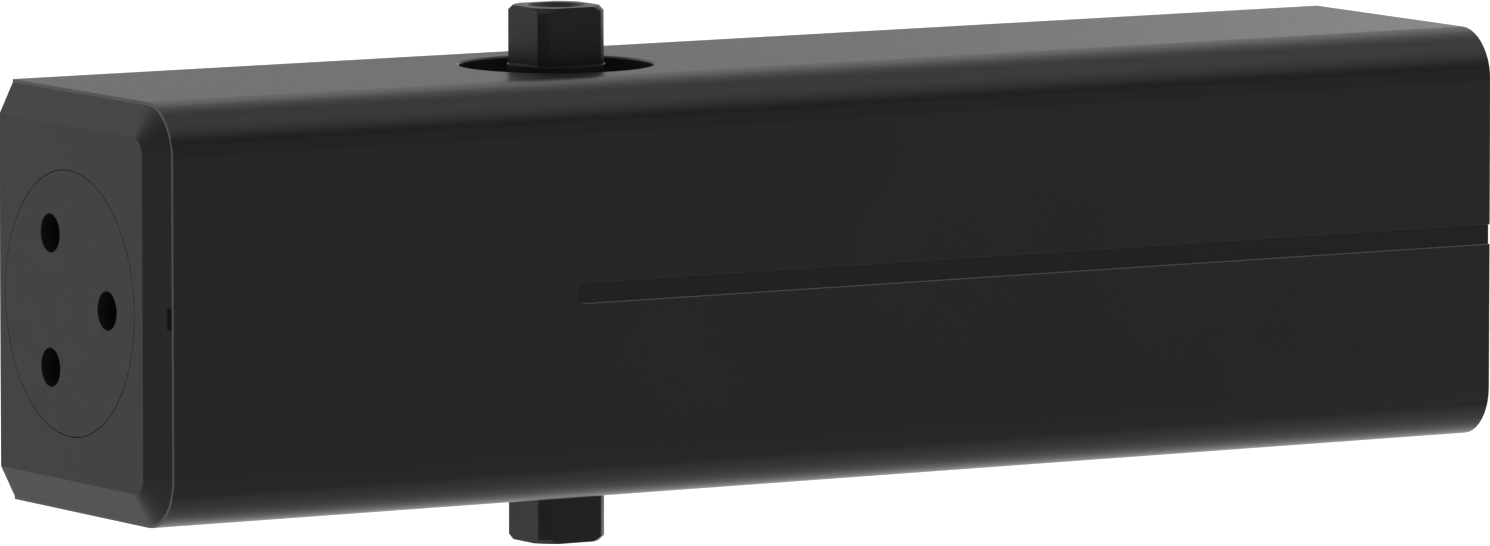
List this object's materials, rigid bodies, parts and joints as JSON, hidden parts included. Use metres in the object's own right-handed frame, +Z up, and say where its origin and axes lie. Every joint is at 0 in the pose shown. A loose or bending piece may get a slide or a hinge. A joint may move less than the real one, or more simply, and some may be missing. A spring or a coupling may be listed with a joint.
{
  "type": "overhead door closer",
  "caption": "Surface-mounted overhead door closer body: D-section housing with bevelled end caps, a square spindle top and bottom, and its rack, pinion, springs and regulating screws.",
  "frame": {"origin": "on the door plane (the housing's flat back), midway along its length and its height", "axes": "+X along the housing towards the spring end, +Y into the door, +Z up along the spindle"},
  "size_m": [0.225, 0.0465, 0.077],
  "materials": {
    "housing_black": "satin black coating",
    "cap_black": "satin black",
    "plug_black": "black, fine turned",
    "spindle_black": "blackened, semi-gloss",
    "bright_steel": "ground and polished",
    "plain_steel": "oiled, machined",
    "spring_steel": "dark, oil hardened",
    "piston_iron": "machined",
    "seal_rubber": "matt",
    "slide_plastic": "natural",
    "screw_brass": "machined"
  },
  "bodies": {
    "closer_body": {"housing": "housing_black", "left_end_cap": "cap_black", "right_end_cap": "cap_black", "valve_head": "plug_black", "valve_head_o_rings": "seal_rubber", "closing_speed_o_ring": "seal_rubber", "latching_speed_o_ring": "seal_rubber", "backcheck_o_ring": "seal_rubber", "spring_end_plug": "plug_black", "spring_end_o_ring": "seal_rubber", "adjusting_screw_o_ring": "seal_rubber", "outer_spring": "spring_steel", "inner_spring": "spring_steel", "gallery_ball": "bright_steel", "upper_bearing_cap": "plain_steel", "upper_bearing_cap_o_ring": "seal_rubber", "upper_bearing_cup": "plain_steel", "upper_needle_cage": "slide_plastic", "upper_needles": "bright_steel", "upper_shaft_seal": "seal_rubber", "upper_thrust_washer": "plain_steel", "lower_bearing_cap": "plain_steel", "lower_bearing_cap_o_ring": "seal_rubber", "lower_bearing_cup": "plain_steel", "lower_needle_cage": "slide_plastic", "lower_needles": "bright_steel", "lower_shaft_seal": "seal_rubber", "lower_thrust_washer": "plain_steel"},
    "spindle": {"spindle": "spindle_black"},
    "piston": {"piston": "piston_iron", "piston_rings": "slide_plastic", "check_valve_screw": "screw_brass", "check_valve_spring": "spring_steel", "relief_valve_screw": "screw_brass", "relief_valve_spring": "spring_steel"},
    "check_ball": {"check_valve_ball": "bright_steel"},
    "relief_ball": {"relief_valve_ball": "bright_steel"},
    "adjusting_screw": {"adjusting_screw": "plain_steel"},
    "spring_seat": {"spring_seat": "plain_steel"},
    "closing_speed_screw": {"closing_speed_screw": "screw_brass"},
    "latching_speed_screw": {"latching_speed_screw": "screw_brass"},
    "backcheck_screw": {"backcheck_screw": "screw_brass"}
  },
  "joints": [
    {"name": "spindle_turn", "type": "hinge", "parent": "closer_body", "child": "spindle", "pos_m": [-0.033, -0.0204, 0], "axis": [0, 0, 1], "range_deg": [0, 180], "stiffness_Nm_per_rad": 5.4, "springref_deg": -126.05},
    {"name": "piston_slide", "type": "slide", "parent": "closer_body", "child": "piston", "axis": [1, 0, 0], "range_m": [0, 0.0276], "deforming": ["outer_spring", "inner_spring"]},
    {"name": "spring_seat_slide", "type": "slide", "parent": "closer_body", "child": "spring_seat", "axis": [-1, 0, 0], "range_m": [0, 0.012], "deforming": ["outer_spring", "inner_spring"]},
    {"name": "adjusting_screw_turn", "type": "hinge", "parent": "closer_body", "child": "adjusting_screw", "pos_m": [0.105, -0.0204, 0], "axis": [-1, 0, 0], "range_deg": [0, 2881]},
    {"name": "closing_speed_screw_turn", "type": "hinge", "parent": "closer_body", "child": "closing_speed_screw", "pos_m": [-0.1, -0.0314, 0], "axis": [-1, 0, 0], "range_deg": [0, 720]},
    {"name": "latching_speed_screw_turn", "type": "hinge", "parent": "closer_body", "child": "latching_speed_screw", "pos_m": [-0.1, -0.0149, 0.00953], "axis": [-1, 0, 0], "range_deg": [0, 720]},
    {"name": "backcheck_screw_turn", "type": "hinge", "parent": "closer_body", "child": "backcheck_screw", "pos_m": [-0.1, -0.0149, -0.00953], "axis": [-1, 0, 0], "range_deg": [0, 720]},
    {"name": "check_ball_lift", "type": "slide", "parent": "piston", "child": "check_ball", "axis": [-1, 0, 0], "range_m": [0, 0.001], "stiffness_N_per_m": 60, "springref_m": -0.003, "deforming": ["check_valve_spring"]},
    {"name": "relief_ball_lift", "type": "slide", "parent": "piston", "child": "relief_ball", "axis": [1, 0, 0], "range_m": [0, 0.001], "stiffness_N_per_m": 60, "springref_m": -0.003, "deforming": ["relief_valve_spring"]}
  ],
  "couplings": [
    {"joint": "piston_slide", "follows": "spindle_turn", "m_per_rad": 0.00875},
    {"joint": "adjusting_screw_turn", "follows": "spring_seat_slide", "rad_per_m": 4188.8}
  ]
}
